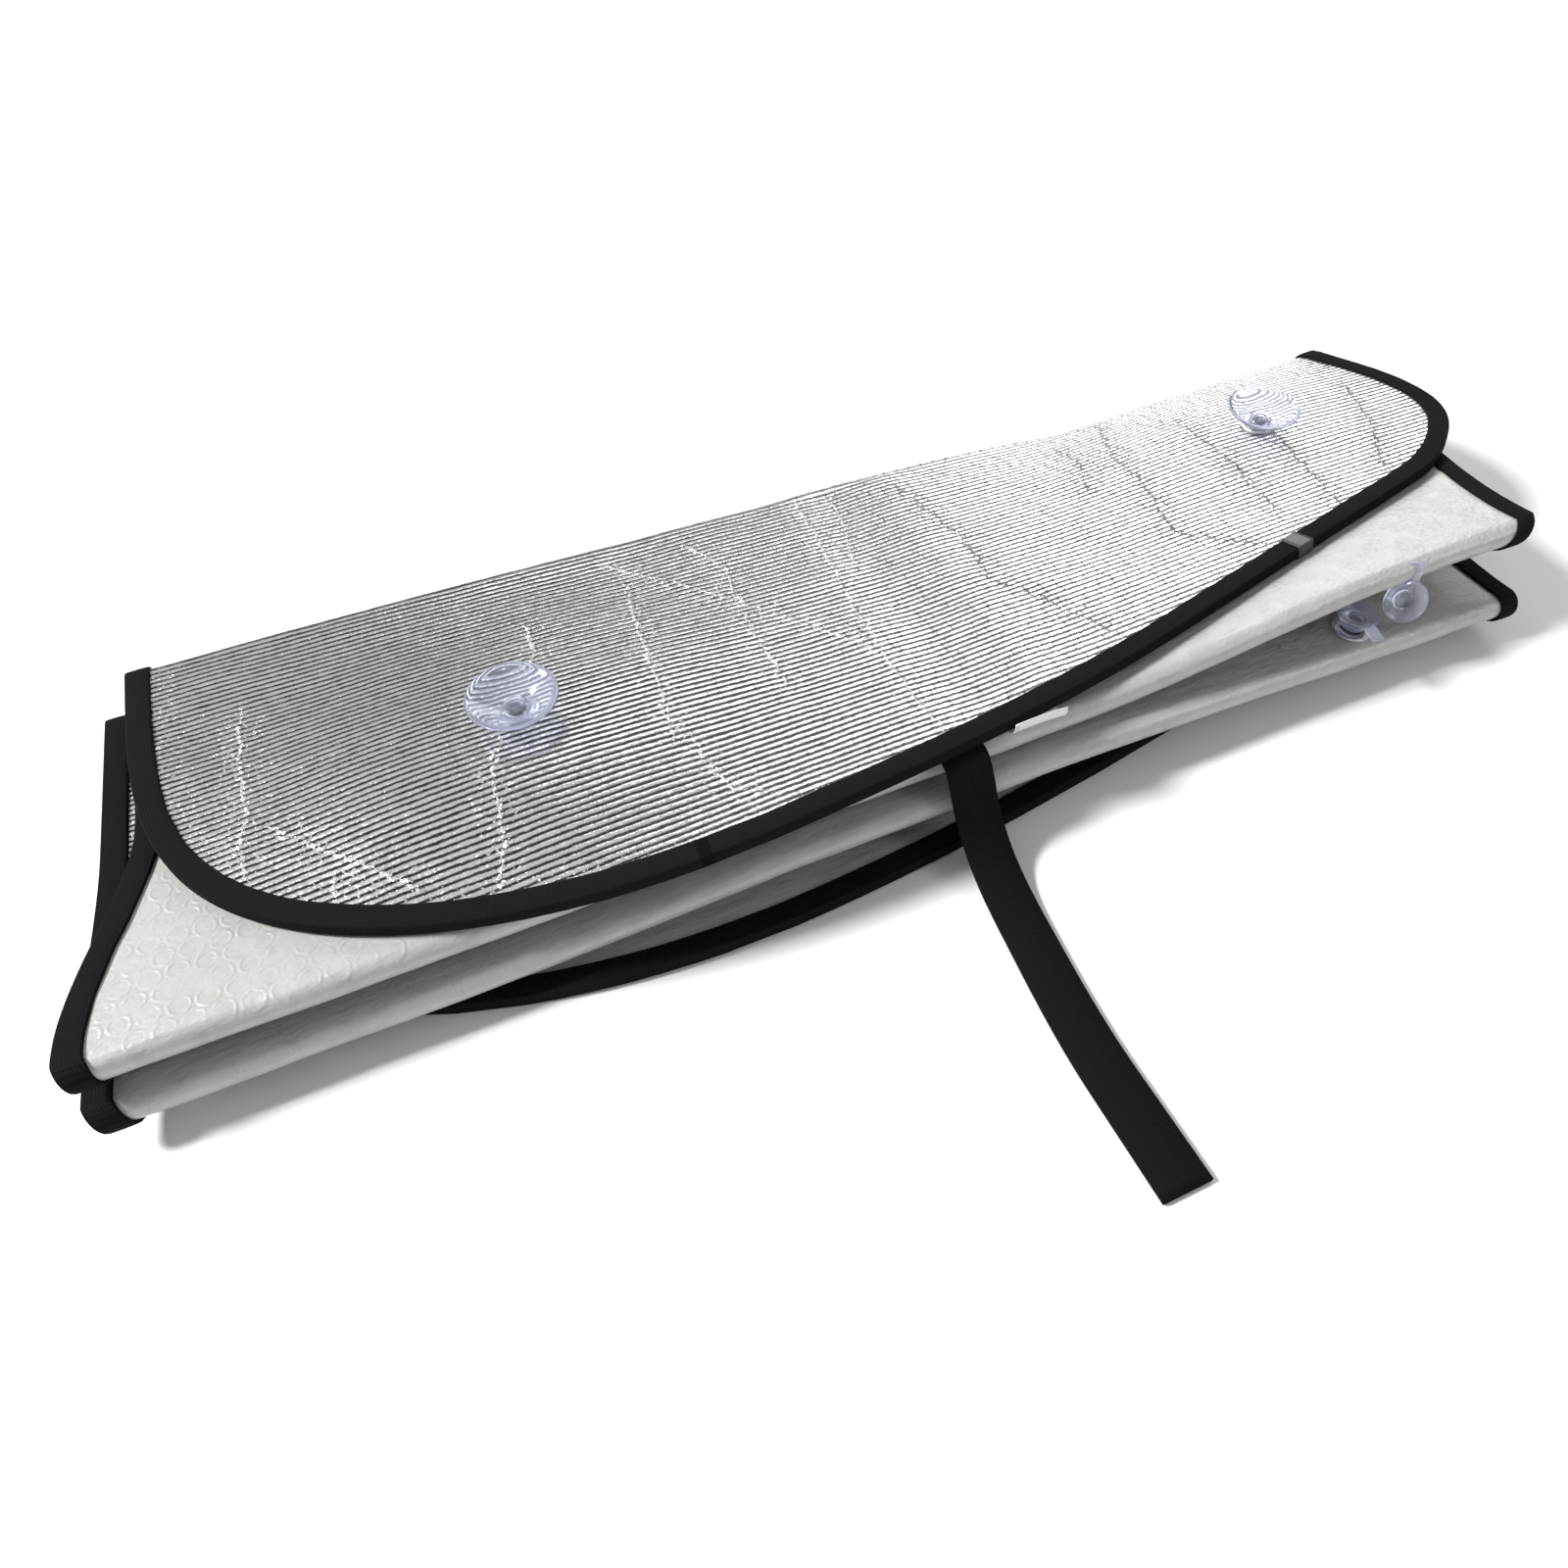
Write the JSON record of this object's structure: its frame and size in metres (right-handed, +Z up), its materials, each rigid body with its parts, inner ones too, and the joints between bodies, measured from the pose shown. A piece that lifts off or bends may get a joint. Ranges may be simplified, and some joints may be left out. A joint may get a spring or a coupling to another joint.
{
  "type": "windscreen sunshade",
  "caption": "Folding windscreen sunshade of bubble foil with woven edge binding, suction cups in metal eyelets and an elastic closing strap, shown folded up.",
  "frame": {"origin": "middle of the whole footprint, the strap counted, on the surface that it rests on", "axes": "+X along the folds, -Y is the side of the free edge and of the strap, +Z up"},
  "size_m": [0.7642, 0.4324, 0.0801],
  "materials": {
    "foil": "metallised film, ribbed; the other face is pearly white bubble film",
    "binding": "black woven polyester",
    "strap": "black knitted elastic",
    "label": "white woven ribbon",
    "tape": "grey see-through tape",
    "cup": "clear soft plastic",
    "eyelet": "nickel-plated"
  },
  "bodies": {
    "shade": {"foil_sheet": "foil", "edge_binding": "binding", "elastic_strap": "strap", "care_label": "label", "binding_tape": "tape", "suction_cup_inner_upper": "cup", "suction_cup_inner_lower": "cup", "eyelet_top_left": "eyelet", "eyelet_top_right": "eyelet", "eyelet_inner_upper": "eyelet", "eyelet_inner_lower": "eyelet", "eyelet_bottom_left": "eyelet", "eyelet_bottom_right": "eyelet", "washer_top_left": "eyelet", "washer_top_right": "eyelet", "washer_inner_upper": "eyelet", "washer_inner_lower": "eyelet", "washer_bottom_left": "eyelet", "washer_bottom_right": "eyelet"},
    "cup_top_left": {"suction_cup_top_left": "cup"},
    "cup_top_right": {"suction_cup_top_right": "cup"},
    "cup_bottom_left": {"suction_cup_bottom_left": "cup"},
    "cup_bottom_right": {"suction_cup_bottom_right": "cup"}
  },
  "joints": [
    {"name": "cup_turn_top_left", "type": "hinge", "parent": "shade", "child": "cup_top_left", "pos_m": [-0.18261, 0.08505, 0.06729], "axis": [0, -0.1392, 0.9903], "continuous": true},
    {"name": "cup_turn_top_right", "type": "hinge", "parent": "shade", "child": "cup_top_right", "pos_m": [0.26839, 0.13605, 0.06729], "axis": [0, -0.1392, 0.9903], "continuous": true},
    {"name": "cup_turn_bottom_left", "type": "hinge", "parent": "shade", "child": "cup_bottom_left", "pos_m": [-0.18261, 0.07778, 0.01], "axis": [0, 0, -1], "continuous": true},
    {"name": "cup_turn_bottom_right", "type": "hinge", "parent": "shade", "child": "cup_bottom_right", "pos_m": [0.26839, 0.12878, 0.01], "axis": [0, 0, -1], "continuous": true}
  ]
}
